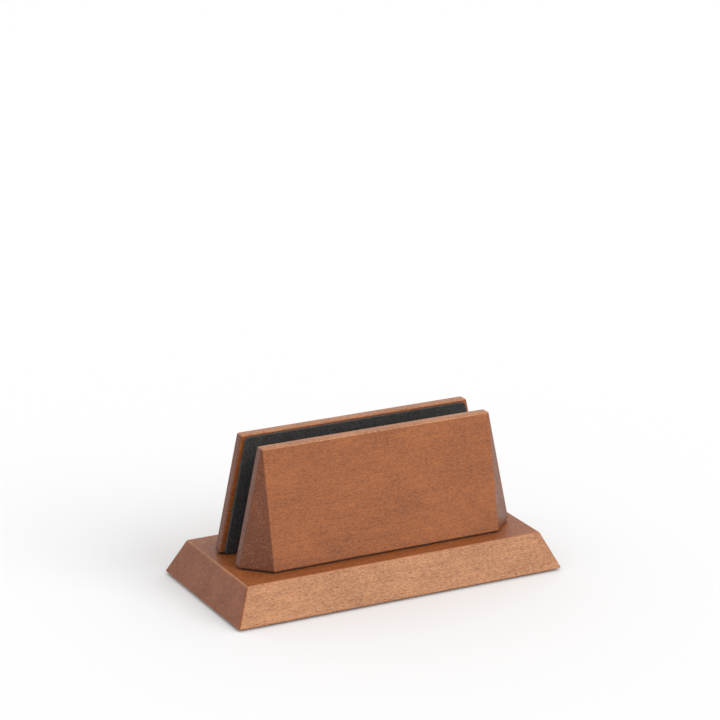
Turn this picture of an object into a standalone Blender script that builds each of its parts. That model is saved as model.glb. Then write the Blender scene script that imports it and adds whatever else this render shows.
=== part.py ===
"""Wooden stand that holds a closed laptop on its edge, between two jaws that slide on a bevelled base.

Frame: metres, +X along the slot, +Y to the rear, +Z up. The origin is under the middle of the base,
on the surface that the feet stand on.

Each jaw is clamped from below by two socket head screws. They pass through slots across the base
into brass inserts in the jaw, so a slackened jaw slides in Y to fit the laptop's thickness.
"""
import math

import bmesh
import bpy
from mathutils import Matrix

# Base block: a low frustum
BASE_LENGTH = 0.2185
BASE_HEIGHT = 0.022
BASE_INSET = 0.0102         # how far each side leans in from bottom to top
STRIP = 0.0105              # base top left free outside each jaw
WOOD_GAP = 0.0216           # between the jaws' wooden faces at rest

# Jaw: a wedge in side view, with its ends cut back at 45 degrees in plan down to a narrow edge
JAW_FACE_LENGTH = 0.152     # outer face, the same at its bottom and its top
JAW_HEIGHT = 0.0722
JAW_FOOT = 0.0217           # thickness at the bottom
JAW_CREST = 0.0064          # thickness at the top
JAW_END = 0.0058            # width of each end's square edge, beside the slot
JAW_EDGE_RADIUS = 0.0009    # rounding of the upright edges

# Travel of each jaw from its rest place
TRAVEL_CLOSE = 0.004
TRAVEL_OPEN = 0.0045

# Soft parts
LINING = 0.0023             # from the jaw's wooden face to the lining's face
LINING_MARGIN = 0.0015
SOLE = 0.0006
SOLE_MARGIN = 0.001
PAD_LENGTH = 0.140
PAD_WIDTH = 0.008
PAD_PROUD = 0.003
PAD_SUNK = 0.001
FOOT_RADIUS = 0.006
FOOT_PROUD = 0.0015
FOOT_SUNK = 0.001
FOOT_EDGE = 0.015           # from the base's bottom edges to a foot's centre

# Clamp: M5 x 25 socket head screws, washers and inserts
SCREW_X = 0.052
SCREW_DEPTH = 0.0107        # from the jaw's wooden face to the screw's axis
SCREW_RADIUS = 0.0025
SCREW_LENGTH = 0.025
HEAD_RADIUS = 0.00425
HEAD_HEIGHT = 0.005
HEX_ACROSS_FLATS = 0.004
HEX_DEPTH = 0.0025
WASHER_RADIUS = 0.006
SPRING_WASHER_RADIUS = 0.0046
SPRING_WASHER_SPLIT = 0.0012
WASHER_THICKNESS = 0.0012
INSERT_RADIUS = 0.004
INSERT_LENGTH = 0.012
CHANNEL_DEPTH = 0.013       # from the base's bottom to the washers' seat
POCKET_DEPTH = 0.0145       # hole in the jaw for the insert and the screw's tip

EDGE = 0.0008               # rounding of the wooden edges
GAP = 0.0003                # between pieces that touch
SEAM_GAP = 0.00025          # above and below a sole
BORE_GAP = 0.0003           # round the screw in every hole
ROUND = 24                  # sides of a round piece
ARC = 6                     # steps of a rounded corner

# Worked out from the above
BASE_DEPTH = 2 * (BASE_INSET + STRIP + JAW_FOOT) + WOOD_GAP
BASE_TOP = FOOT_PROUD + BASE_HEIGHT
JAW_BOTTOM = 2 * SEAM_GAP + SOLE                     # above the base's top
SCREW_HOLE = SCREW_RADIUS + BORE_GAP
SEAT = FOOT_PROUD + CHANNEL_DEPTH - BASE_TOP         # washers' seat, from the base's top
FLAT_WASHER_Z = SEAT - GAP - WASHER_THICKNESS
SPRING_WASHER_Z = FLAT_WASHER_Z - GAP - WASHER_THICKNESS
HEAD_TOP = SPRING_WASHER_Z - GAP
CHANNEL_WIDTH = 2 * WASHER_RADIUS + 0.001
JAWS = (("front", -1), ("rear", 1))
SIDES = (("left", -1), ("right", 1))


def clear_scene():
    for item in list(bpy.data.objects):
        bpy.data.objects.remove(item, do_unlink=True)


def material(name, colour, roughness, metallic=0.0):
    made = bpy.data.materials.new(name)
    made.use_nodes = True
    made.diffuse_color = (*colour, 1.0)
    shader = made.node_tree.nodes["Principled BSDF"]
    shader.inputs["Base Color"].default_value = (*colour, 1.0)
    shader.inputs["Roughness"].default_value = roughness
    shader.inputs["Metallic"].default_value = metallic
    return made


def finished_mesh(name, bm):
    """The mesh with its normals out, shaded smooth except at its real edges."""
    bmesh.ops.remove_doubles(bm, verts=bm.verts, dist=1e-6)
    bmesh.ops.recalc_face_normals(bm, faces=bm.faces)
    mesh = bpy.data.meshes.new(name)
    bm.to_mesh(mesh)
    bm.free()
    mesh.shade_smooth()
    mesh.set_sharp_from_angle(angle=math.radians(35))
    return mesh


def add(name, mesh, surface, parent=None, location=(0, 0, 0)):
    item = bpy.data.objects.new(name, mesh)
    bpy.context.scene.collection.objects.link(item)
    if not mesh.materials:
        mesh.materials.append(surface)
    item.parent = parent
    item.location = location
    return item


def empty(name, location, turn=0.0, parent=None):
    item = bpy.data.objects.new(name, None)
    bpy.context.scene.collection.objects.link(item)
    item.location = location
    item.rotation_euler.z = turn
    item.parent = parent
    return item


def carved(name, mesh, cutters):
    """The mesh less each cutter mesh in turn."""
    body = bpy.data.objects.new(name, mesh)
    bpy.context.scene.collection.objects.link(body)
    tools = []
    for cutter in cutters:
        tool = bpy.data.objects.new(cutter.name, cutter)
        bpy.context.scene.collection.objects.link(tool)
        cut = body.modifiers.new(cutter.name, "BOOLEAN")
        cut.operation = "DIFFERENCE"
        cut.solver = "EXACT"
        cut.object = tool
        tools.append(tool)
    evaluated = body.evaluated_get(bpy.context.evaluated_depsgraph_get())
    result = bpy.data.meshes.new_from_object(evaluated)
    result.name = name
    for item in [body, *tools]:
        bpy.data.objects.remove(item, do_unlink=True)
    result.shade_smooth()
    result.set_sharp_from_angle(angle=math.radians(35))
    return result


def rounded(corners, radii, steps=ARC):
    """A polygon given anticlockwise, each corner replaced by a tangent arc of its radius."""
    points = []
    count = len(corners)
    for index, (x, y) in enumerate(corners):
        before = corners[index - 1]
        after = corners[(index + 1) % count]
        back = math.atan2(before[1] - y, before[0] - x)
        ahead = math.atan2(after[1] - y, after[0] - x)
        opening = (back - ahead) % (2 * math.pi)
        radius = radii[index]
        middle = ahead + opening / 2
        reach = radius / math.sin(opening / 2)
        centre_x = x + reach * math.cos(middle)
        centre_y = y + reach * math.sin(middle)
        sweep = math.pi - opening
        start = middle + math.pi - sweep / 2
        for step in range(steps + 1):
            angle = start + sweep * step / steps
            points.append((centre_x + radius * math.cos(angle), centre_y + radius * math.sin(angle)))
    return points


def circle(radius, centre=(0, 0), sides=ROUND):
    turns = [2 * math.pi * step / sides for step in range(sides)]
    return [(centre[0] + radius * math.cos(a), centre[1] + radius * math.sin(a)) for a in turns]


def stadium(radius, low, high, x):
    """A slot's outline along Y at x, its end arcs centred at low and high."""
    half = ROUND // 2
    points = []
    for centre, start in ((low, math.pi), (high, 0.0)):
        for step in range(half + 1):
            angle = start + math.pi * step / half
            points.append((x + radius * math.cos(angle), centre + radius * math.sin(angle)))
    return points


def loft(bm, low, low_z, high, high_z):
    """A closed body between two outlines that have the same number of points."""
    rings = [[bm.verts.new((x, y, z)) for x, y in outline] for outline, z in ((low, low_z), (high, high_z))]
    count = len(low)
    for index in range(count):
        following = (index + 1) % count
        bm.faces.new((rings[0][index], rings[0][following], rings[1][following], rings[1][index]))
    caps = [bm.faces.new(rings[0][::-1]), bm.faces.new(rings[1])]
    return caps


def ease(bm, caps, width, segments=2):
    """Round the edges of the two end faces."""
    edges = list({edge for cap in caps for edge in cap.edges})
    bmesh.ops.bevel(bm, geom=edges, offset=width, segments=segments, profile=0.5, affect="EDGES")


def prism(bm, outline, low, high):
    return loft(bm, outline, low, outline, high)


def turned(name, profile, tube=False):
    """A body of revolution from (radius, z) points; a tube's profile is a closed loop."""
    bm = bmesh.new()
    verts = [bm.verts.new((radius, 0, z)) for radius, z in profile]
    edges = [bm.edges.new(pair) for pair in zip(verts, verts[1:])]
    if tube:
        edges.append(bm.edges.new((verts[-1], verts[0])))
    bmesh.ops.spin(bm, geom=verts + edges, axis=(0, 0, 1), cent=(0, 0, 0), angle=2 * math.pi, steps=ROUND)
    return finished_mesh(name, bm)


def rectangle(length, depth):
    return [(-length / 2, -depth / 2), (length / 2, -depth / 2), (length / 2, depth / 2), (-length / 2, depth / 2)]


def pad_outline(grow=0.0):
    radius = PAD_WIDTH / 2 + grow
    return [(y, x) for x, y in stadium(radius, -PAD_LENGTH / 2 + radius - grow, PAD_LENGTH / 2 - radius + grow, 0)]


def screw_places():
    """(jaw, side, x, y of the axis at rest, outward sign) of the four clamp screws."""
    for jaw, outward in JAWS:
        for side, sign in SIDES:
            yield jaw, side, sign * SCREW_X, outward * (WOOD_GAP / 2 + SCREW_DEPTH), outward


def foot_places():
    for row, outward in JAWS:
        for side, sign in SIDES:
            x = sign * (BASE_LENGTH / 2 - FOOT_EDGE)
            y = outward * (BASE_DEPTH / 2 - FOOT_EDGE)
            yield f"foot_{row}_{side}", x, y


def slot_run(y, outward):
    """Lowest and highest Y that a screw's axis reaches."""
    return sorted((y - outward * TRAVEL_CLOSE, y + outward * TRAVEL_OPEN))


def base_mesh():
    body = bmesh.new()
    low = rounded(rectangle(BASE_LENGTH, BASE_DEPTH), [EDGE] * 4, 2)
    high = rounded(rectangle(BASE_LENGTH - 2 * BASE_INSET, BASE_DEPTH - 2 * BASE_INSET), [EDGE] * 4, 2)
    ease(body, loft(body, low, FOOT_PROUD, high, BASE_TOP), EDGE)

    past = 0.001
    pockets = bmesh.new()
    through = bmesh.new()
    for _, _, x, y, outward in screw_places():
        near, far = slot_run(y, outward)
        prism(pockets, stadium(CHANNEL_WIDTH / 2, near, far, x), FOOT_PROUD - past, FOOT_PROUD + CHANNEL_DEPTH)
        prism(through, stadium(SCREW_HOLE, near, far, x), FOOT_PROUD, BASE_TOP + past)
    for _, x, y in foot_places():
        prism(pockets, circle(FOOT_RADIUS + GAP, (x, y)), FOOT_PROUD - past, FOOT_PROUD + FOOT_SUNK + GAP)
    prism(pockets, pad_outline(GAP), BASE_TOP - PAD_SUNK - GAP, BASE_TOP + past)
    cutters = [finished_mesh("pockets", pockets), finished_mesh("through_slots", through)]
    return carved("base_block", finished_mesh("base_body", body), cutters)


def jaw_end(thickness):
    """Half length of the jaw's slot face where the jaw is so thick."""
    return JAW_FACE_LENGTH / 2 + thickness - JAW_END


def jaw_plan(thickness, inset=0.0):
    """Plan of a jaw where it is so thick; the slot is at y = 0 and the outer face towards -Y."""
    cut = inset * math.tan(math.radians(22.5))
    outer = JAW_FACE_LENGTH / 2 - cut
    end = jaw_end(thickness) - inset
    corners = [
        (-outer, -thickness + inset), (outer, -thickness + inset),
        (end, -JAW_END + cut), (end, -inset), (-end, -inset), (-end, -JAW_END + cut),
    ]
    return rounded(corners, [JAW_EDGE_RADIUS] * 6)


def jaw_mesh():
    body = bmesh.new()
    caps = loft(body, jaw_plan(JAW_FOOT), JAW_BOTTOM, jaw_plan(JAW_CREST), JAW_BOTTOM + JAW_HEIGHT)
    ease(body, caps, EDGE)
    holes = bmesh.new()
    for _, sign in SIDES:
        outline = circle(INSERT_RADIUS + GAP, (sign * SCREW_X, -SCREW_DEPTH))
        prism(holes, outline, 0.0, JAW_BOTTOM + POCKET_DEPTH)
    return carved("jaw", finished_mesh("jaw_body", body), [finished_mesh("insert_holes", holes)])


def lining_mesh():
    """A sheet on the jaw's slot face, inside the face's rounded edges."""
    low = jaw_end(JAW_FOOT) - JAW_EDGE_RADIUS - LINING_MARGIN
    high = jaw_end(JAW_CREST) - JAW_EDGE_RADIUS - LINING_MARGIN
    top = JAW_BOTTOM + JAW_HEIGHT - LINING_MARGIN
    corners = [(-low, GAP), (low, GAP), (high, top), (-high, top)]
    bm = bmesh.new()
    caps = prism(bm, rounded(corners, [0.002] * 4, 3), -LINING, -GAP)
    ease(bm, [caps[0]], 0.0004, 1)
    bmesh.ops.rotate(bm, verts=bm.verts, matrix=Matrix.Rotation(math.radians(90), 3, "X"))
    return finished_mesh("lining", bm)


def sole_mesh():
    bm = bmesh.new()
    prism(bm, jaw_plan(JAW_FOOT, SOLE_MARGIN), SEAM_GAP, SEAM_GAP + SOLE)
    holes = bmesh.new()
    for _, sign in SIDES:
        prism(holes, circle(SCREW_HOLE, (sign * SCREW_X, -SCREW_DEPTH)), 0.0, 2 * SEAM_GAP + SOLE)
    return carved("sole", finished_mesh("sole_body", bm), [finished_mesh("sole_holes", holes)])


def pad_mesh():
    bm = bmesh.new()
    caps = prism(bm, pad_outline(), BASE_TOP - PAD_SUNK, BASE_TOP + PAD_PROUD)
    ease(bm, [caps[1]], 0.0006)
    return finished_mesh("slot_floor_pad", bm)


def screw_mesh():
    """Socket head screw standing on its head; its origin is under the head, on its axis."""
    chamfer = 0.0005
    tip = SCREW_LENGTH
    profile = [
        (0, -HEAD_HEIGHT), (HEAD_RADIUS - chamfer, -HEAD_HEIGHT), (HEAD_RADIUS, -HEAD_HEIGHT + chamfer),
        (HEAD_RADIUS, 0), (SCREW_RADIUS, 0), (SCREW_RADIUS, tip - chamfer), (SCREW_RADIUS - chamfer, tip), (0, tip),
    ]
    socket = bmesh.new()
    corner = HEX_ACROSS_FLATS / math.sqrt(3)
    prism(socket, circle(corner, sides=6), -HEAD_HEIGHT - chamfer, -HEAD_HEIGHT + HEX_DEPTH)
    return carved("jaw_screw", turned("screw_body", profile), [finished_mesh("hex_socket", socket)])


def ring_mesh(name, radius, thickness, chamfer):
    hole = SCREW_HOLE
    profile = [
        (hole, 0), (radius - chamfer, 0), (radius, chamfer), (radius, thickness - chamfer),
        (radius - chamfer, thickness), (hole, thickness),
    ]
    return turned(name, profile, tube=True)


def spring_washer_mesh():
    """A ring cut through at an angle on one side."""
    ring = ring_mesh("spring_ring", SPRING_WASHER_RADIUS, WASHER_THICKNESS, 0.0001)
    half = SPRING_WASHER_SPLIT / 2
    reach = 2 * SPRING_WASHER_RADIUS
    lean = 0.0004
    low = [(0.0005, -half - lean), (reach, -half - lean), (reach, half - lean), (0.0005, half - lean)]
    high = [(x, y + 2 * lean) for x, y in low]
    split = bmesh.new()
    loft(split, low, -0.0002, high, WASHER_THICKNESS + 0.0002)
    return carved("spring_washer", ring, [finished_mesh("split", split)])


def insert_mesh():
    """Knurled insert: two wide bands with a groove between them."""
    groove = 0.0005
    wide = INSERT_RADIUS
    length = INSERT_LENGTH
    middle = length / 2
    profile = [
        (SCREW_HOLE, 0), (wide - groove, 0), (wide, groove), (wide, middle - 2 * groove),
        (wide - groove, middle - groove), (wide - groove, middle + groove), (wide, middle + 2 * groove),
        (wide, length - groove), (wide - groove, length), (SCREW_HOLE, length),
    ]
    return turned("threaded_insert", profile, tube=True)


def foot_mesh():
    """A soft disc with a rounded lower rim; its origin is on the floor."""
    rim = 0.001
    arc = [math.radians(90 * step / 4) for step in range(5)]
    lower = [(FOOT_RADIUS - rim + rim * math.sin(a), rim - rim * math.cos(a)) for a in arc]
    top = FOOT_PROUD + FOOT_SUNK
    return turned("foot", [(0, 0), *lower, (FOOT_RADIUS, top), (0, top)])


def build():
    clear_scene()
    wood = material("stained_wood", (0.36, 0.125, 0.058), 0.5)
    felt = material("dark_felt", (0.035, 0.032, 0.030), 0.95)
    steel = material("zinc_steel", (0.62, 0.62, 0.60), 0.3, 1.0)
    brass = material("brass", (0.75, 0.55, 0.26), 0.35, 1.0)
    silicone = material("foot_silicone", (0.05, 0.05, 0.05), 0.6)

    base = empty("base", (0, 0, 0))
    add("base_block", base_mesh(), wood, base)
    add("slot_floor_pad", pad_mesh(), felt, base)
    foot = foot_mesh()
    for name, x, y in foot_places():
        add(name, foot, silicone, base, (x, y, 0))

    jaw = jaw_mesh()
    lining = lining_mesh()
    sole = sole_mesh()
    screw = screw_mesh()
    flat_washer = ring_mesh("flat_washer", WASHER_RADIUS, WASHER_THICKNESS, 0.0002)
    spring_washer = spring_washer_mesh()
    insert = insert_mesh()
    for name, outward in JAWS:
        turn = 0.0 if outward < 0 else math.pi
        slide = empty(f"{name}_jaw_slide", (0, outward * WOOD_GAP / 2, BASE_TOP), turn, base)
        add(f"{name}_jaw", jaw, wood, slide)
        add(f"{name}_jaw_lining", lining, felt, slide)
        add(f"{name}_jaw_sole", sole, felt, slide)
        for side, sign in SIDES:
            # The rear jaw is turned half round, so its left screw is on its own +X side
            x = -outward * sign * SCREW_X
            y = -SCREW_DEPTH
            add(f"jaw_screw_{name}_{side}", screw, steel, slide, (x, y, HEAD_TOP))
            add(f"flat_washer_{name}_{side}", flat_washer, steel, slide, (x, y, FLAT_WASHER_Z))
            add(f"spring_washer_{name}_{side}", spring_washer, steel, slide, (x, y, SPRING_WASHER_Z))
            add(f"threaded_insert_{name}_{side}", insert, brass, slide, (x, y, JAW_BOTTOM + GAP))


build()
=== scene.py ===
"""Looks of a wooden vertical laptop dock: two felt-lined jaws that slide on a bevelled base.

Metres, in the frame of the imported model: +X along the slot, +Y to the rear, +Z up.
Every piece is built where its CAD node is, from the node's box and the few driving sizes below.
"""
import math

import bmesh
import bpy
from mathutils import Matrix, Vector, noise


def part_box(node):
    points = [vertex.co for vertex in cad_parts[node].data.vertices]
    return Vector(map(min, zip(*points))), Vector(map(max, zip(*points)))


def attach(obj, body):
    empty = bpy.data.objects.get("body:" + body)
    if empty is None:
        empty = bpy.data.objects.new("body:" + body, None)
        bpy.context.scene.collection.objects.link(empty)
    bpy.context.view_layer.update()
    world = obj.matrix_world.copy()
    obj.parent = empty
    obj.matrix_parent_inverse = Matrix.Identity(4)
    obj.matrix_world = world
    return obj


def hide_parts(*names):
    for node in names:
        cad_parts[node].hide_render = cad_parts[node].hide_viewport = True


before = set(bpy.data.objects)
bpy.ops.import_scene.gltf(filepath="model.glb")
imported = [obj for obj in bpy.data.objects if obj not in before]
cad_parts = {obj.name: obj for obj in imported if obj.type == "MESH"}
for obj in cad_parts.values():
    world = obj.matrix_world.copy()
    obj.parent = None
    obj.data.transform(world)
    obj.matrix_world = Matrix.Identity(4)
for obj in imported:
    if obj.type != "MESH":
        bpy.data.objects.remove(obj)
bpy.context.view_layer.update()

# Camera, to the left of the front and a little above, with a long lens. Angles here are in degrees,
# and an azimuth turns from the front towards the right.
VIEW_AZIMUTH = -27.45
VIEW_ELEVATION = 17.71
VIEW_ROLL = -0.17
VIEW_DISTANCE = 1.849
VIEW_TARGET = Vector((-0.0029, 0.0, 0.1363))
VIEW_LENS = 154.74

# White surround, one soft sun and a pale floor
SKY_STRENGTH = 0.9
SUN_AZIMUTH = 30
SUN_ELEVATION = 32
SUN_STRENGTH = 1.26
SUN_WIDTH = 40
FLOOR_HALF_LENGTH = 40.0
FLOOR_GREY = 0.9
FLOOR_ROUGHNESS = 0.9

# Wooden shapes that the nodes' boxes don't give
BASE_INSET = 0.0102         # how far each side of the base leans in
JAW_FACE_LENGTH = 0.152     # the jaw's outer face
JAW_FOOT = 0.0217           # jaw thickness at the bottom
JAW_CREST = 0.0064          # and at the top
END_WIDTH = 0.0058          # width of each end's square edge, beside the slot
JAW_EDGE_RADIUS = 0.0009    # rounding of the jaw's upright edges
CREST_EASE = 0.0009         # rounding of its crest, across it
CREST_END_EASE = 0.0020     # and at the crest's two ends
LEAST_RADIUS = 0.00002      # of an upright edge where the crest's rounding takes it away
BASE_CORNER_RADIUS = 0.0012
EDGE = 0.0008               # rounding of the other wooden edges

# Felt: each wave is the length of the unevenness, and each lift its height
LINING_MARGIN = 0.0015      # wood left round a lining
LINING_CORNER = 0.002
LINING_EDGE = 0.0006
LINING_LIFT = 0.00018
LINING_WAVE = 0.009
PAD_EDGE = 0.0010
PAD_LIFT = 0.0002
PAD_WAVE = 0.008

# Clamps, M5
SCREW_RADIUS = 0.0025
SCREW_HOLE = 0.0028
HEAD_HEIGHT = 0.005
HEAD_CHAMFER = 0.0005
HEAD_TEETH = 36
HEAD_TOOTH_DEPTH = 0.00012
HEX_ACROSS_FLATS = 0.004
HEX_DEPTH = 0.0025
THREAD_PITCH = 0.0008
THREAD_DEPTH = 0.0003
PLAIN_SHANK = 0.002         # without thread, under the head
SHANK_SUNK = 0.0006         # how far the shank's mesh reaches into the head
TIP_CHAMFER = 0.0006
TIP_TAPER = 0.8             # radius of the tip's end against that of the last thread
WASHER_CHAMFER = 0.0002
SPRING_WASHER_CHAMFER = 0.0001
SPLIT_HALF_WIDTH = 0.0006
SPLIT_LEAN = 0.0004
INSERT_GROOVE = 0.0005
INSERT_TEETH = 28
INSERT_TOOTH_DEPTH = 0.00022

# Feet
FOOT_RIM = 0.001            # rounding of the lower rim
FOOT_TOP_CHAMFER = 0.0003

# Room in the wood for the clamps, the feet and the floor pad
CHANNEL_HALF_WIDTH = 0.0065
TRAVEL_CLOSE = 0.004        # how far a jaw slides towards the slot
TRAVEL_OPEN = 0.0045        # and away from it
POCKET_DEPTH = 0.0145       # of an insert's hole
GAP = 0.0003
PAST = 0.001                # how far a cutter stands out of the face it cuts

# Wood grain, along X: how often each pattern repeats in a metre, and how much it counts
FLECKS = (560, 1500, 1500)
FIBRES = (45, 1700, 1700)
MOTTLE = (90, 230, 230)
BLOTCHES = (26, 45, 45)
RAYS = (230, 1050, 1050)
PORES = (850, 850, 850)
FLECK_WEIGHT = 1.9
FIBRE_WEIGHT = 0.5
MOTTLE_WEIGHT = 0.45
BLOTCH_WEIGHT = 0.75
RING_WEIGHT = 0.02
RING_WIDTH = 0.0042         # one year's growth
RING_WARP = 0.012           # how far a ring wanders

# Colours of the wood; the tints multiply a colour
BASE_STAIN = (0.290, 0.086, 0.023)
JAW_STAIN = (0.280, 0.080, 0.0165)
# Painted sheen on the base's front and rear faces: a lighter, paler colour
PAINTED_BEVEL_SHEEN = (0.381, 0.151, 0.0485)
# Edge colour: stain rubbed thin, and a painted highlight
WORN_AND_HIGHLIT = (0.415, 0.170, 0.070)
PORE_DUST = (0.330, 0.165, 0.100)
DARK_TINT = (0.60, 0.54, 0.46)
LIGHT_TINT = (1.40, 1.46, 1.54)
RAY_TINT = (0.62, 0.50, 0.44)
BASE_END_TINT = (0.78, 0.68, 0.55)
# The jaws' ends: end grain, darkened further as painted shade
JAW_END_GRAIN_AND_SHADE_TINT = (0.46, 0.38, 0.36)

# Colours of the rest, each pair from its plain to its marked places
CHARCOAL = (0.030, 0.028, 0.027)
ZINC = ((0.56, 0.56, 0.55), (0.70, 0.70, 0.67))
BRASS = ((0.80, 0.58, 0.27), (0.50, 0.34, 0.15))
SILICONE = ((0.030, 0.030, 0.031), (0.075, 0.073, 0.070))

JAWS = (("front", -1), ("rear", 1))
SIDES = ("left", "right")
ROUND = 48                  # sides of a round piece


# ---------------------------------------------------------------- camera, floor and lights

def direction(azimuth, elevation):
    """Unit vector from the origin towards the given side and height, in degrees."""
    side = math.radians(azimuth)
    height = math.radians(elevation)
    return Vector((math.sin(side) * math.cos(height), -math.cos(side) * math.cos(height), math.sin(height)))


def camera():
    back = direction(VIEW_AZIMUTH, VIEW_ELEVATION)
    data = bpy.data.cameras.new("camera")
    data.lens = VIEW_LENS
    data.clip_start = 0.1
    data.clip_end = 50
    item = bpy.data.objects.new("camera", data)
    bpy.context.scene.collection.objects.link(item)
    item.location = VIEW_TARGET + VIEW_DISTANCE * back
    level = (-back).to_track_quat("-Z", "Y").to_matrix()
    item.rotation_euler = (level @ Matrix.Rotation(math.radians(-VIEW_ROLL), 3, "Z")).to_euler()
    bpy.context.scene.camera = item


def sun(name, azimuth, elevation, strength, width):
    """Soft light from one side, a disc of sky so many degrees wide."""
    data = bpy.data.lights.new(name, "SUN")
    data.energy = strength
    data.angle = math.radians(width)
    item = bpy.data.objects.new(name, data)
    bpy.context.scene.collection.objects.link(item)
    item.rotation_euler = (-direction(azimuth, elevation)).to_track_quat("-Z", "Y").to_euler()


def studio():
    world = bpy.data.worlds.new("studio")
    bpy.context.scene.world = world
    world.use_nodes = True
    sky = world.node_tree.nodes["Background"]
    sky.inputs["Color"].default_value = (1.0, 1.0, 1.0, 1.0)
    sky.inputs["Strength"].default_value = SKY_STRENGTH
    sun("key", SUN_AZIMUTH, SUN_ELEVATION, SUN_STRENGTH, SUN_WIDTH)

    bm = bmesh.new()
    bmesh.ops.create_grid(bm, x_segments=1, y_segments=1, size=FLOOR_HALF_LENGTH)
    mesh = bpy.data.meshes.new("floor")
    bm.to_mesh(mesh)
    bm.free()
    floor = bpy.data.objects.new("floor", mesh)
    bpy.context.scene.collection.objects.link(floor)
    paper = bpy.data.materials.new("floor_paper")
    paper.use_nodes = True
    shader = paper.node_tree.nodes["Principled BSDF"]
    shader.inputs["Base Color"].default_value = (FLOOR_GREY, FLOOR_GREY, FLOOR_GREY, 1)
    shader.inputs["Roughness"].default_value = FLOOR_ROUGHNESS
    mesh.materials.append(paper)
    bpy.context.scene.view_settings.view_transform = "Standard"


# ---------------------------------------------------------------- materials

def rgba(colour, factor=1.0):
    return tuple(channel * factor for channel in colour) + (1,)


class Graph:
    """A material's node tree, with short calls for the nodes used here."""

    def __init__(self, name):
        self.material = bpy.data.materials.new(name)
        self.material.use_nodes = True
        self.tree = self.material.node_tree
        self.shader = self.tree.nodes["Principled BSDF"]

    def node(self, kind, inputs=None, **settings):
        made = self.tree.nodes.new(kind)
        for key, value in settings.items():
            setattr(made, key, value)
        for key, value in (inputs or {}).items():
            self.feed(made.inputs[key], value)
        return made

    def feed(self, socket, value):
        if isinstance(value, bpy.types.NodeSocket):
            self.tree.links.new(value, socket)
        else:
            socket.default_value = value

    def calc(self, operation, first, second=0.0, third=0.0):
        inputs = {0: first, 1: second, 2: third}
        return self.node("ShaderNodeMath", inputs, operation=operation).outputs[0]

    def blend(self, kind, factor, first, second):
        made = self.node("ShaderNodeMix", data_type="RGBA", blend_type=kind)
        self.feed(made.inputs["Factor"], factor)
        self.feed(made.inputs[6], first)
        self.feed(made.inputs[7], second)
        return made.outputs[2]

    def place(self, scale=(1, 1, 1), shift=(0, 0, 0), turn=(0, 0, 0)):
        coordinates = self.node("ShaderNodeTexCoord").outputs["Object"]
        inputs = {"Vector": coordinates, "Scale": scale, "Location": shift, "Rotation": turn}
        return self.node("ShaderNodeMapping", inputs).outputs["Vector"]

    def noise(self, vector, scale=1.0, detail=3.0, roughness=0.5):
        inputs = {"Vector": vector, "Scale": scale, "Detail": detail, "Roughness": roughness}
        return self.node("ShaderNodeTexNoise", inputs).outputs["Fac"]

    def spread(self, value, low, high, to_low=0.0, to_high=1.0):
        inputs = {"Value": value, 1: low, 2: high, 3: to_low, 4: to_high}
        return self.node("ShaderNodeMapRange", inputs, clamp=True).outputs[0]

    def cells(self, vector):
        """A cell pattern: each point's distance from its cell's centre, and the cell's own colour."""
        made = self.node("ShaderNodeTexVoronoi", {"Vector": vector, "Scale": 1.0})
        parts = self.node("ShaderNodeSeparateColor", {"Color": made.outputs["Color"]})
        return made.outputs["Distance"], parts

    def bump(self, height, distance, strength):
        inputs = {"Height": height, "Distance": distance, "Strength": strength}
        return self.node("ShaderNodeBump", inputs).outputs["Normal"]

    def set(self, **values):
        for key, value in values.items():
            self.feed(self.shader.inputs[key.replace("_", " ")], value)
        return self.material


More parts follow.
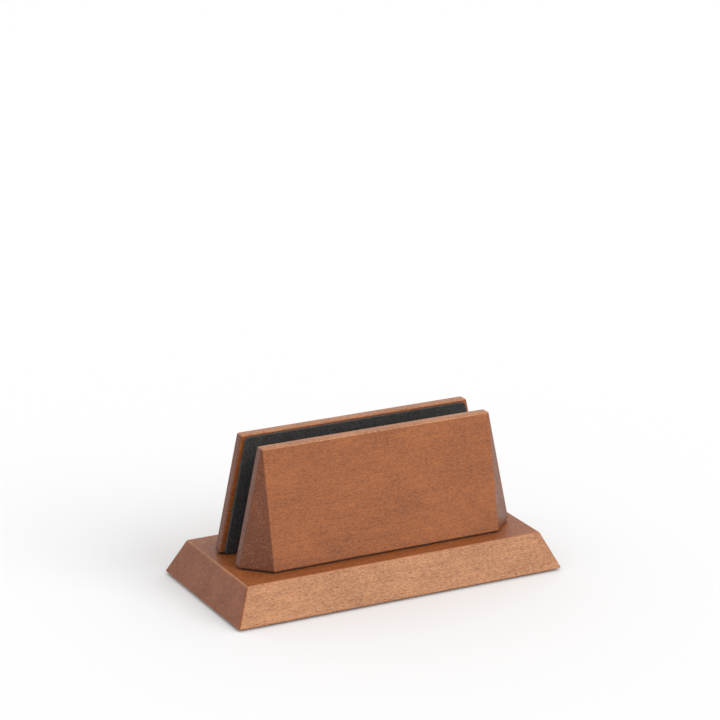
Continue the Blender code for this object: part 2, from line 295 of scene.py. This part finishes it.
def stained_wood(name, colour, end_grain_and_shade_tint, rays, shift, tilt, painted_sheen_sides=False):
    """Beech under a warm red-brown stain. The fibres run along X, so a long face shows short flecks
    and dark rays, and an end shows dots and is darker; the jaws' ends are darker still, painted shade.
    The upward rounded edges are lighter, partly worn stain and partly a painted highlight. When asked,
    the faces towards the front and the rear get a painted sheen, a lighter and paler colour."""
    g = Graph(name)
    turn = (0.0, tilt, tilt * 0.6)
    flecks = g.noise(g.place(FLECKS, shift, turn), detail=2, roughness=0.6)
    fibres = g.noise(g.place(FIBRES, shift, turn), detail=3, roughness=0.6)
    mottle = g.noise(g.place(MOTTLE, shift, turn), detail=3, roughness=0.5)
    blotches = g.noise(g.place(BLOTCHES, shift, (0.0, 0.5, 0.0)), detail=2, roughness=0.5)

    # Growth rings round a pith that lies well below the board
    ring_place = g.place((0.35, 1, 1), (0.02, 0.06, 0.11), turn)
    warp = g.noise(ring_place, scale=14, detail=2)
    split = g.node("ShaderNodeSeparateXYZ", {"Vector": ring_place})
    across = g.calc("MULTIPLY", split.outputs["Y"], split.outputs["Y"])
    squares = g.calc("MULTIPLY_ADD", split.outputs["Z"], split.outputs["Z"], across)
    radius = g.calc("MULTIPLY_ADD", warp, RING_WARP, g.calc("SQRT", squares))
    rings = g.calc("SINE", g.calc("MULTIPLY", radius, 2 * math.pi / RING_WIDTH))

    # Each pattern's middle is 0.5, and so is the middle of their weighted sum
    weights = FLECK_WEIGHT + FIBRE_WEIGHT + MOTTLE_WEIGHT + BLOTCH_WEIGHT
    tone = g.calc("MULTIPLY_ADD", flecks, FLECK_WEIGHT, 0.5 - 0.5 * weights)
    tone = g.calc("MULTIPLY_ADD", fibres, FIBRE_WEIGHT, tone)
    tone = g.calc("MULTIPLY_ADD", mottle, MOTTLE_WEIGHT, tone)
    tone = g.calc("MULTIPLY_ADD", blotches, BLOTCH_WEIGHT, tone)
    tone = g.calc("MULTIPLY_ADD", rings, RING_WEIGHT, tone)

    normal = g.node("ShaderNodeTexCoord").outputs["Normal"]
    facing = g.node("ShaderNodeSeparateXYZ", {"Vector": normal})
    end = g.spread(g.calc("ABSOLUTE", facing.outputs["X"]), 0.35, 0.75)
    stain = rgba(colour)
    # Painted sheen: the faces towards the front and the rear are painted a lighter, paler colour
    if painted_sheen_sides:
        side = g.spread(g.calc("ABSOLUTE", facing.outputs["Y"]), 0.55, 0.85)
        stain = g.blend("MIX", side, stain, rgba(PAINTED_BEVEL_SHEEN))
    # Upward rounded edges are lighter: partly worn stain, partly a painted highlight
    wear_and_highlight = g.node("ShaderNodeAttribute", attribute_name="wear_and_highlight").outputs["Fac"]
    stain = g.blend("MIX", g.calc("MULTIPLY", wear_and_highlight, 0.9), stain, rgba(WORN_AND_HIGHLIT))
    dark = g.blend("MULTIPLY", 1.0, stain, rgba(DARK_TINT))
    light = g.blend("MULTIPLY", 1.0, stain, rgba(LIGHT_TINT))
    tinted = g.blend("MIX", tone, dark, light)

    # Rays: short dark dashes along the grain
    from_middle, pick = g.cells(g.place(RAYS, shift, turn))
    dash = g.spread(from_middle, 0.18, 0.40, 1.0, 0.0)
    dashes = g.calc("MULTIPLY", dash, g.spread(pick.outputs["Red"], 0.45, 0.75))
    tinted = g.blend("MULTIPLY", g.calc("MULTIPLY", dashes, rays), tinted, rgba(RAY_TINT))

    # The open pores of an end drink more stain, so an end is darker; the jaws' end tint darkens them
    # further, painted shade. Many pores are filled with pale dust
    tinted = g.blend("MULTIPLY", end, tinted, rgba(end_grain_and_shade_tint))
    from_middle, pick = g.cells(g.place(PORES, shift))
    dot = g.spread(from_middle, 0.15, 0.55, 1.0, 0.0)
    chosen = g.spread(pick.outputs["Green"], 0.25, 0.85)
    filled = g.calc("MULTIPLY", chosen, g.spread(mottle, 0.35, 0.65, 0.3, 1.0))
    dots = g.calc("MULTIPLY", g.calc("MULTIPLY", dot, filled), end)
    tinted = g.blend("MIX", g.calc("MULTIPLY", dots, 0.75), tinted, rgba(PORE_DUST))

    height = g.calc("MULTIPLY_ADD", dashes, -0.5, g.calc("MULTIPLY_ADD", flecks, 0.6, fibres))
    rough = g.spread(tone, 0.2, 0.8, 0.47, 0.37)
    g.set(Base_Color=tinted, Roughness=rough, Specular_IOR_Level=0.45)
    return g.set(Normal=g.bump(height, 0.00006, 0.6))


def felt(name, colour):
    """Pressed wool: fine curling hairs, paler and darker than the felt between them."""
    g = Graph(name)
    clumps = g.noise(g.place((140, 140, 140)), detail=3)
    nap = g.noise(g.place((1300, 1300, 1300)), detail=4, roughness=0.7)

    def hairs(scale, shift, width):
        """Thin winding lines where a noise crosses its middle value."""
        inputs = {"Vector": g.place((scale,) * 3, shift), "Scale": 1.0, "Detail": 2.0, "Distortion": 1.2}
        field = g.node("ShaderNodeTexNoise", inputs).outputs["Fac"]
        away = g.calc("ABSOLUTE", g.calc("SUBTRACT", field, 0.5))
        return g.spread(away, 0.3 * width, width, 1.0, 0.0)

    pale = g.calc("MAXIMUM", hairs(330, (0.1, 0.2, 0.3), 0.020), hairs(520, (0.5, 0.1, 0.7), 0.024))
    sunk = hairs(410, (0.9, 0.6, 0.2), 0.035)
    tone = g.calc("MULTIPLY_ADD", clumps, 0.45, g.calc("MULTIPLY", nap, 0.55))
    tinted = g.blend("MIX", g.spread(tone, 0.34, 0.66), rgba(colour, 0.55), rgba(colour, 1.55))
    tinted = g.blend("MULTIPLY", g.calc("MULTIPLY", sunk, 0.7), tinted, (0.45, 0.45, 0.45, 1))
    tinted = g.blend("MIX", g.calc("MULTIPLY", pale, 0.5), tinted, rgba(colour, 4.0))
    height = g.calc("MULTIPLY_ADD", pale, 0.5, g.calc("MULTIPLY_ADD", sunk, -0.4, nap))
    g.set(Sheen_Weight=0.12, Sheen_Roughness=0.6, Specular_IOR_Level=0.15)
    return g.set(Base_Color=tinted, Roughness=0.95, Normal=g.bump(height, 0.0003, 0.8))


def zinc(name):
    """Zinc plating with turning marks and faint handling stains."""
    g = Graph(name)
    lines = g.noise(g.place((500, 500, 5200)), detail=3)
    stain = g.noise(g.place((220, 220, 220)), detail=4)
    tinted = g.blend("MIX", g.spread(stain, 0.35, 0.7), rgba(ZINC[0]), rgba(ZINC[1]))
    marks = g.calc("MULTIPLY_ADD", lines, 0.5, g.calc("MULTIPLY", stain, 0.5))
    rough = g.spread(marks, 0.3, 0.7, 0.24, 0.42)
    return g.set(Base_Color=tinted, Metallic=1.0, Roughness=rough, Normal=g.bump(lines, 0.00003, 0.5))


def brass(name):
    """Turned brass, tarnished here and there."""
    g = Graph(name)
    lines = g.noise(g.place((400, 400, 4800)), detail=3)
    tarnish = g.noise(g.place((300, 300, 300)), detail=4)
    tinted = g.blend("MIX", g.spread(tarnish, 0.35, 0.75), rgba(BRASS[0]), rgba(BRASS[1]))
    rough = g.spread(tarnish, 0.3, 0.7, 0.26, 0.45)
    return g.set(Base_Color=tinted, Metallic=1.0, Roughness=rough, Normal=g.bump(lines, 0.00003, 0.5))


def silicone(name):
    """Soft matt rubber with a little dust on it."""
    g = Graph(name)
    grain = g.noise(g.place((2200, 2200, 2200)), detail=3)
    dust = g.noise(g.place((260, 260, 260)), detail=4)
    tinted = g.blend("MIX", g.spread(dust, 0.45, 0.8), rgba(SILICONE[0]), rgba(SILICONE[1]))
    rough = g.spread(dust, 0.3, 0.8, 0.55, 0.75)
    return g.set(Base_Color=tinted, Roughness=rough, Normal=g.bump(grain, 0.00004, 0.6))


# ---------------------------------------------------------------- shapes

def rounded(corners, radius, steps):
    """A polygon given anticlockwise, each corner replaced by a tangent arc of so many steps."""
    points = []
    count = len(corners)
    for index, (x, y) in enumerate(corners):
        before = corners[index - 1]
        after = corners[(index + 1) % count]
        back = math.atan2(before[1] - y, before[0] - x)
        ahead = math.atan2(after[1] - y, after[0] - x)
        opening = (back - ahead) % (2 * math.pi)
        middle = ahead + opening / 2
        reach = radius / math.sin(opening / 2)
        centre_x = x + reach * math.cos(middle)
        centre_y = y + reach * math.sin(middle)
        sweep = math.pi - opening
        start = middle + math.pi - sweep / 2
        for step in range(steps + 1):
            angle = start + sweep * step / steps
            points.append((centre_x + radius * math.cos(angle), centre_y + radius * math.sin(angle)))
    return points


def circle(radius, centre=(0, 0), sides=ROUND):
    turns = [2 * math.pi * step / sides for step in range(sides)]
    return [(centre[0] + radius * math.cos(a), centre[1] + radius * math.sin(a)) for a in turns]


def stadium(radius, low, high, x=0.0):
    """A slot's outline along Y at x, its end arcs centred at low and high."""
    half = ROUND // 2
    points = []
    for centre, start in ((low, math.pi), (high, 0.0)):
        for step in range(half + 1):
            angle = start + math.pi * step / half
            points.append((x + radius * math.cos(angle), centre + radius * math.sin(angle)))
    return points


def quarter_turn(steps):
    """Angles from 0 to a quarter turn."""
    return [math.radians(90 * step / steps) for step in range(steps + 1)]


def skin(bm, rings):
    """Faces between each ring of points and the next one."""
    for below, above in zip(rings, rings[1:]):
        for index, corner in enumerate(below):
            after = (index + 1) % len(below)
            bm.faces.new((corner, below[after], above[after], above[index]))


def stack(bm, levels):
    """A closed body through (outline, z) levels with the same number of points; returns its end faces."""
    rings = [[bm.verts.new((x, y, z)) for x, y in outline] for outline, z in levels]
    skin(bm, rings)
    return [bm.faces.new(rings[0][::-1]), bm.faces.new(rings[-1])]


def loft(bm, low, low_z, high, high_z):
    return stack(bm, [(low, low_z), (high, high_z)])


def prism(bm, outline, low, high):
    return loft(bm, outline, low, outline, high)


def knurled(bm, rings, teeth, depth):
    """Rings of points from (radius, z, ribbed); every second point of a ribbed ring is cut in."""
    made = []
    for radius, z, ribbed in rings:
        ring = []
        for step in range(2 * teeth):
            angle = math.pi * step / teeth
            reach = radius - depth * ribbed * (step % 2)
            ring.append(bm.verts.new((reach * math.cos(angle), reach * math.sin(angle), z)))
        made.append(ring)
    return made


def ease(bm, caps, width):
    """Round the edges of the end faces; returns the rounded strips."""
    edges = list({edge for cap in caps for edge in cap.edges})
    made = bmesh.ops.bevel(bm, geom=edges, offset=width, segments=4, profile=0.5, affect="EDGES")
    bm.normal_update()
    return made["faces"]


def mark_wear_and_highlight(bm, faces):
    """These faces get the lighter edge colour, partly rubbed-thin stain and partly a painted highlight: the
    attribute is 1 on them, and 0 elsewhere.
    """
    bm.faces.index_update()
    marked = [face.index for face in faces]
    wear_and_highlight = bm.faces.layers.float.new("wear_and_highlight")
    bm.faces.ensure_lookup_table()
    for index in marked:
        bm.faces[index][wear_and_highlight] = 1.0


def finished_mesh(name, bm, sharp=38):
    """The mesh with its normals out, shaded smooth but for the edges sharper than so many degrees."""
    bmesh.ops.remove_doubles(bm, verts=bm.verts, dist=1e-6)
    bmesh.ops.recalc_face_normals(bm, faces=bm.faces)
    mesh = bpy.data.meshes.new(name)
    bm.to_mesh(mesh)
    bm.free()
    mesh.shade_smooth()
    mesh.set_sharp_from_angle(angle=math.radians(sharp))
    return mesh


def carved(name, mesh, cutters, sharp=38):
    """The mesh less each cutter mesh in turn."""
    body = bpy.data.objects.new(name, mesh)
    bpy.context.scene.collection.objects.link(body)
    tools = []
    for cutter in cutters:
        tool = bpy.data.objects.new(cutter.name, cutter)
        bpy.context.scene.collection.objects.link(tool)
        cut = body.modifiers.new(cutter.name, "BOOLEAN")
        cut.operation = "DIFFERENCE"
        cut.solver = "EXACT"
        cut.object = tool
        tools.append(tool)
    evaluated = body.evaluated_get(bpy.context.evaluated_depsgraph_get())
    result = bpy.data.meshes.new_from_object(evaluated)
    result.name = name
    for item in [body, *tools]:
        bpy.data.objects.remove(item, do_unlink=True)
    result.shade_smooth()
    result.set_sharp_from_angle(angle=math.radians(sharp))
    return result


def uneven(bm, axis, depth, wave):
    """Cut the felt's faces into small ones and lift them a little here and there, along one axis."""
    across = [i for i in range(3) if i != axis]
    for i in across:
        low = min(v.co[i] for v in bm.verts)
        high = max(v.co[i] for v in bm.verts)
        count = int((high - low) / (wave / 3))
        for step in range(1, count):
            normal = [0.0, 0.0, 0.0]
            normal[i] = 1.0
            place = [0.0, 0.0, 0.0]
            place[i] = low + (high - low) * step / count
            geometry = bm.verts[:] + bm.edges[:] + bm.faces[:]
            bmesh.ops.bisect_plane(bm, geom=geometry, plane_co=place, plane_no=normal, dist=1e-7)
    for vert in bm.verts:
        vert.co[axis] += depth * noise.noise(vert.co / wave)


def turned(name, profile, tube=False):
    """A body of revolution from (radius, z) points; a tube's profile is a closed loop."""
    bm = bmesh.new()
    verts = [bm.verts.new((radius, 0, z)) for radius, z in profile]
    edges = [bm.edges.new(pair) for pair in zip(verts, verts[1:])]
    if tube:
        edges.append(bm.edges.new((verts[-1], verts[0])))
    whole = 2 * math.pi
    bmesh.ops.spin(bm, geom=verts + edges, axis=(0, 0, 1), cent=(0, 0, 0), angle=whole, steps=ROUND)
    return finished_mesh(name, bm)


def piece(node, mesh, surface, body, location=(0, 0, 0), turn=0.0, flat=False):
    """Stands for a CAD node: the mesh at its place, riding on the node's body. The weighted normals
    keep the large faces flat beside their rounded edges."""
    made = bpy.data.objects.new(f"fine_{node}", mesh)
    bpy.context.scene.collection.objects.link(made)
    mesh.materials.clear()
    mesh.materials.append(surface)
    made.location = location
    made.rotation_euler.z = turn
    if flat:
        even = made.modifiers.new("weighted_normals", "WEIGHTED_NORMAL")
        even.keep_sharp = True
        even.weight = 100
    bpy.context.view_layer.update()
    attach(made, body)
    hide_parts(node)
    return made


def middle(node):
    """(x, y) of the centre of a node's box."""
    low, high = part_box(node)
    return (low[0] + high[0]) / 2, (low[1] + high[1]) / 2


# ---------------------------------------------------------------- base

def slot_run(y, outward):
    """Lowest and highest Y that a screw's axis reaches."""
    return sorted((y - outward * TRAVEL_CLOSE, y + outward * TRAVEL_OPEN))


def rectangle(length, depth):
    x = length / 2
    y = depth / 2
    return [(-x, -y), (x, -y), (x, y), (-x, y)]


def pad_outline(grow=0.0):
    low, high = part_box("slot_floor_pad")
    radius = (high[1] - low[1]) / 2
    run = high[0] - radius
    return [(y, x) for x, y in stadium(radius + grow, -run, run)][::-1]


def base_block(surface):
    low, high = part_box("base_block")
    # The eased bottom edge stands back from the sharp one by this much
    lean = math.atan2(BASE_INSET, high[2] - low[2])
    hidden = EDGE * (1 - math.sin(lean)) * 0.5
    length = high[0] - low[0] + 2 * hidden
    depth = high[1] - low[1] + 2 * hidden
    body = bmesh.new()
    bottom = rounded(rectangle(length, depth), BASE_CORNER_RADIUS, 4)
    top = rounded(rectangle(length - 2 * BASE_INSET, depth - 2 * BASE_INSET), BASE_CORNER_RADIUS, 4)
    rims = ease(body, loft(body, bottom, low[2], top, high[2]), EDGE)
    # Only the rims that face up get the lighter colour, a painted highlight as well as wear
    mark_wear_and_highlight(body, [face for face in rims if face.normal.z > 0])

    pockets = bmesh.new()
    through = bmesh.new()
    for jaw, outward in JAWS:
        for side in SIDES:
            x, y = middle(f"jaw_screw_{jaw}_{side}")
            near, far = slot_run(y, outward)
            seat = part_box(f"flat_washer_{jaw}_{side}")[1][2] + GAP
            prism(pockets, stadium(CHANNEL_HALF_WIDTH, near, far, x), low[2] - PAST, seat)
            prism(through, stadium(SCREW_HOLE, near, far, x), low[2], high[2] + PAST)
            foot = f"foot_{jaw}_{side}"
            foot_low, foot_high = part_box(foot)
            radius = (foot_high[0] - foot_low[0]) / 2 + GAP
            prism(pockets, circle(radius, middle(foot)), low[2] - PAST, foot_high[2] + GAP)
    pad_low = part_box("slot_floor_pad")[0]
    prism(pockets, pad_outline(GAP), pad_low[2] - GAP, high[2] + PAST)
    mesh = carved("fine_base_block", finished_mesh("base_body", body), [
        finished_mesh("pockets", pockets), finished_mesh("through_slots", through),
    ])
    piece("base_block", mesh, surface, "base", flat=True)


def feet(surface):
    """Soft discs with a rounded lower rim."""
    arc = quarter_turn(8)
    for jaw, _ in JAWS:
        for side in SIDES:
            node = f"foot_{jaw}_{side}"
            low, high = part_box(node)
            radius = (high[0] - low[0]) / 2
            flat = radius - FOOT_RIM
            lower = [(flat + FOOT_RIM * math.sin(a), FOOT_RIM - FOOT_RIM * math.cos(a)) for a in arc]
            top = high[2]
            upper = [(radius, top - FOOT_TOP_CHAMFER), (radius - FOOT_TOP_CHAMFER, top), (0, top)]
            profile = [(0, 0), *lower, *upper]
            x, y = middle(node)
            piece(node, turned(f"fine_{node}", profile), surface, "base", (x, y, 0))


def floor_pad(surface):
    low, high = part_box("slot_floor_pad")
    bm = bmesh.new()
    caps = prism(bm, pad_outline(), low[2], high[2])
    ease(bm, [caps[1]], PAD_EDGE)
    uneven(bm, 2, PAD_LIFT, PAD_WAVE)
    pad = piece("slot_floor_pad", finished_mesh("fine_slot_floor_pad", bm), surface, "base", flat=True)


# ---------------------------------------------------------------- jaws

def jaw_end(thickness):
    """Half length of the jaw's slot face where the jaw is so thick."""
    return JAW_FACE_LENGTH / 2 + thickness - END_WIDTH


def jaw_plan(thickness, inset=0.0, shorter=0.0):
    """Plan of a jaw where it is so thick, with the slot at y = 0 and the outer face towards -Y. The
    inset draws every side in, and the ends are drawn in by `shorter` as well."""
    cut = inset * math.tan(math.radians(45 / 2))
    outer = JAW_FACE_LENGTH / 2 - cut - shorter
    end = jaw_end(thickness) - inset - shorter
    corners = [
        (-outer, -thickness + inset), (outer, -thickness + inset),
        (end, -END_WIDTH + cut), (end, -inset), (-end, -inset), (-end, -END_WIDTH + cut),
    ]
    return rounded(corners, max(JAW_EDGE_RADIUS - inset, LEAST_RADIUS), 6)


def jaw_levels(height):
    """The jaw's plans from its foot to its crest, both with rounded edges."""
    def thickness(z):
        return JAW_FOOT + (JAW_CREST - JAW_FOOT) * z / height

    levels = []
    for angle in quarter_turn(6):
        z = EDGE * (1 - math.cos(angle))
        levels.append((jaw_plan(thickness(z), EDGE * (1 - math.sin(angle))), z))
    for angle in quarter_turn(6):
        z = height - CREST_EASE * (1 - math.sin(angle))
        gone = 1 - math.cos(angle)
        plan = jaw_plan(thickness(z), CREST_EASE * gone, (CREST_END_EASE - CREST_EASE) * gone)
        levels.append((plan, z))
    return levels


def slot_side(node, outward):
    """Y of the face that a node of a jaw has towards the slot, and the jaw's turn about Z."""
    low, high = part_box(node)
    return (high[1], 0.0) if outward < 0 else (low[1], math.pi)


def screw_spots():
    """The jaw's two screw axes in its own plan, from the front jaw's nodes."""
    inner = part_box("front_jaw")[1][1]
    places = [middle(f"jaw_screw_front_{side}") for side in SIDES]
    return [(x, y - inner) for x, y in places]


def jaw_board(name, surface, outward):
    """A jaw's wooden wedge, with the pockets for its two inserts."""
    node = f"{name}_jaw"
    low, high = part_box(node)
    height = high[2] - low[2]
    body = bmesh.new()
    stack(body, jaw_levels(height))
    # The crest's rounding gets the lighter colour, a painted highlight as well as wear
    mark_wear_and_highlight(body, [face for face in body.faces if face.calc_center_median().z > height - CREST_EASE])
    holes = bmesh.new()
    insert_low, insert_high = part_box("threaded_insert_front_left")
    radius = (insert_high[0] - insert_low[0]) / 2 + GAP
    for spot in screw_spots():
        prism(holes, circle(radius, spot), -PAST, POCKET_DEPTH)
    mesh = carved(f"fine_{node}", finished_mesh("jaw_body", body), [finished_mesh("insert_holes", holes)])
    inner, turn = slot_side(node, outward)
    piece(node, mesh, surface, node, (0, inner, low[2]), turn, flat=True)


def lining(name, surface, outward):
    """A felt sheet glued on the jaw's slot face."""
    node = f"{name}_jaw_lining"
    low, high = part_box(node)
    foot = high[0] - low[0]
    crest = 2 * (jaw_end(JAW_CREST) - JAW_EDGE_RADIUS - LINING_MARGIN)
    height = high[2] - low[2]
    thick = high[1] - low[1]
    corners = [(-foot / 2, 0), (foot / 2, 0), (crest / 2, height), (-crest / 2, height)]
    bm = bmesh.new()
    caps = prism(bm, rounded(corners, LINING_CORNER, 8), 0, thick)
    ease(bm, [caps[0]], LINING_EDGE)
    uneven(bm, 2, LINING_LIFT, LINING_WAVE)
    bmesh.ops.rotate(bm, verts=bm.verts, matrix=Matrix.Rotation(math.radians(90), 3, "X"))
    mesh = finished_mesh(f"fine_{node}", bm)
    face, turn = slot_side(node, outward)
    made = piece(node, mesh, surface, f"{name}_jaw", (0, face, low[2]), turn, flat=True)


def sole(name, surface, outward):
    """A thin felt sheet glued under the jaw."""
    node = f"{name}_jaw_sole"
    low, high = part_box(node)
    jaw_low, jaw_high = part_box(f"{name}_jaw")
    margin = (jaw_high[1] - jaw_low[1] - (high[1] - low[1])) / 2
    bm = bmesh.new()
    prism(bm, jaw_plan(JAW_FOOT, margin), 0, high[2] - low[2])
    holes = bmesh.new()
    for spot in screw_spots():
        prism(holes, circle(SCREW_HOLE, spot), -PAST, high[2] - low[2] + PAST)
    mesh = carved(f"fine_{node}", finished_mesh("sole_body", bm), [finished_mesh("sole_holes", holes)])
    inner, turn = slot_side(f"{name}_jaw", outward)
    made = piece(node, mesh, surface, f"{name}_jaw", (0, inner, low[2]), turn)


# ---------------------------------------------------------------- clamps

def screw_head(node, radius):
    """Knurled head with a hexagon socket; its upper face is at z = 0."""
    rings = [
        (radius - HEAD_CHAMFER, -HEAD_HEIGHT, 0), (radius, -HEAD_HEIGHT + HEAD_CHAMFER, 0),
        (radius, -HEAD_HEIGHT + 2 * HEAD_CHAMFER, 1), (radius, -HEAD_CHAMFER, 1),
        (radius, -HEAD_CHAMFER / 2, 0), (radius - 0.0001, 0, 0),
    ]
    bm = bmesh.new()
    loops = knurled(bm, rings, HEAD_TEETH, HEAD_TOOTH_DEPTH)
    skin(bm, loops)
    bm.faces.new(loops[0][::-1])
    bm.faces.new(loops[-1])
    socket = bmesh.new()
    corner = HEX_ACROSS_FLATS / math.sqrt(3)
    prism(socket, circle(corner, sides=6), -HEAD_HEIGHT - HEAD_CHAMFER, -HEAD_HEIGHT + HEX_DEPTH)
    return carved(f"{node}_head", finished_mesh("head_body", bm), [finished_mesh("hex_socket", socket)], 30)


def screw_mesh(node):
    """Socket head screw standing on its head, with a cut thread. The shank is a stack of rings whose
    crest climbs round the screw, one pitch a turn."""
    low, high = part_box(node)
    sides = 24
    per_turn = 4
    tip = high[2] - low[2] - HEAD_HEIGHT
    shank = bmesh.new()
    shank.from_mesh(screw_head(node, (high[0] - low[0]) / 2))
    rows = int((tip - TIP_CHAMFER - PLAIN_SHANK) / THREAD_PITCH * per_turn)
    levels = [-SHANK_SUNK, 0.0001, PLAIN_SHANK]
    levels += [PLAIN_SHANK + THREAD_PITCH * (row + 1) / per_turn for row in range(rows)]
    loops = []
    for z in levels:
        loop = []
        for step in range(sides):
            turn = step / sides
            phase = (z / THREAD_PITCH - turn) % 1.0
            depth = THREAD_DEPTH * abs(2 * phase - 1) if z > PLAIN_SHANK else 0.0
            radius = SCREW_RADIUS - depth
            angle = 2 * math.pi * turn
            loop.append(shank.verts.new((radius * math.cos(angle), radius * math.sin(angle), z)))
        loops.append(loop)
    loops.append([shank.verts.new((v.co.x * TIP_TAPER, v.co.y * TIP_TAPER, tip)) for v in loops[-1]])
    shank.faces.new(loops[0][::-1])
    skin(shank, loops)
    shank.faces.new(loops[-1])
    return finished_mesh(f"fine_{node}", shank, 30)


def ring_profile(radius, thickness, chamfer):
    hole = SCREW_HOLE
    return [
        (hole, chamfer), (hole + chamfer, 0), (radius - chamfer, 0), (radius, chamfer),
        (radius, thickness - chamfer), (radius - chamfer, thickness), (hole + chamfer, thickness),
        (hole, thickness - chamfer),
    ]


def washer_mesh(node):
    low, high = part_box(node)
    profile = ring_profile((high[0] - low[0]) / 2, high[2] - low[2], WASHER_CHAMFER)
    return turned(f"fine_{node}", profile, tube=True)


def spring_washer_mesh(node):
    """A ring cut through at an angle on one side."""
    low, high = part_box(node)
    radius = (high[1] - low[1]) / 2
    thickness = high[2] - low[2]
    ring = turned("spring_ring", ring_profile(radius, thickness, SPRING_WASHER_CHAMFER), tube=True)
    near = -SPLIT_HALF_WIDTH - SPLIT_LEAN
    far = SPLIT_HALF_WIDTH - SPLIT_LEAN
    inside = 0.0005
    outside = 2 * radius
    under = [(inside, near), (outside, near), (outside, far), (inside, far)]
    over = [(x, y + 2 * SPLIT_LEAN) for x, y in under]
    split = bmesh.new()
    loft(split, under, -0.0002, over, thickness + 0.0002)
    return carved(f"fine_{node}", ring, [finished_mesh("split", split)])


def insert_mesh(node):
    """Brass insert: two bands of straight knurls with a groove between them."""
    low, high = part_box(node)
    wide = (high[0] - low[0]) / 2
    length = high[2] - low[2]
    half = length / 2
    groove = INSERT_GROOVE
    neck = wide - groove
    mouth = SCREW_HOLE + groove / 2
    rings = [
        (mouth, 0, 0), (neck, 0, 0), (wide, groove, 1), (wide, half - 2 * groove, 1),
        (neck, half - groove, 0), (neck, half + groove, 0), (wide, half + 2 * groove, 1),
        (wide, length - groove, 1), (neck, length, 0), (mouth, length, 0),
        (SCREW_HOLE, length - groove / 2, 0), (SCREW_HOLE, groove / 2, 0),
    ]
    bm = bmesh.new()
    loops = knurled(bm, rings, INSERT_TEETH, INSERT_TOOTH_DEPTH)
    skin(bm, loops + loops[:1])
    return finished_mesh(f"fine_{node}", bm, 25)


def clamp(name, side, steel, yellow):
    """One screw with its washers and its insert."""
    screw = f"jaw_screw_{name}_{side}"
    jaw = f"{name}_jaw"
    low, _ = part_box(screw)
    x, y = middle(screw)
    piece(screw, screw_mesh(screw), steel, f"screw_{name}_{side}", (x, y, low[2] + HEAD_HEIGHT))
    for kind, make, surface in (
        ("flat_washer", washer_mesh, steel),
        ("spring_washer", spring_washer_mesh, steel),
        ("threaded_insert", insert_mesh, yellow),
    ):
        node = f"{kind}_{name}_{side}"
        turn = math.pi if kind == "spring_washer" and name == "rear" else 0.0
        piece(node, make(node), surface, jaw, (x, y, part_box(node)[0][2]), turn)


def build():
    camera()
    studio()
    charcoal = felt("charcoal_felt", CHARCOAL)
    steel = zinc("zinc_steel")
    yellow = brass("turned_brass")
    base_wood = stained_wood(
        "base_wood", BASE_STAIN, BASE_END_TINT, 0.95, (0.013, 0.031, 0.007), 0.004, painted_sheen_sides=True,
    )
    base_block(base_wood)
    floor_pad(charcoal)
    feet(silicone("foot_silicone"))
    boards = {
        "front": stained_wood("front_jaw_wood", JAW_STAIN, JAW_END_GRAIN_AND_SHADE_TINT, 0.5, (0.31, 0.12, 0.53), -0.01),
        "rear": stained_wood("rear_jaw_wood", JAW_STAIN, JAW_END_GRAIN_AND_SHADE_TINT, 0.5, (0.77, 0.41, 0.23), 0.012),
    }
    for name, outward in JAWS:
        jaw_board(name, boards[name], outward)
        lining(name, charcoal, outward)
        sole(name, charcoal, outward)
        for side in SIDES:
            clamp(name, side, steel, yellow)


build()
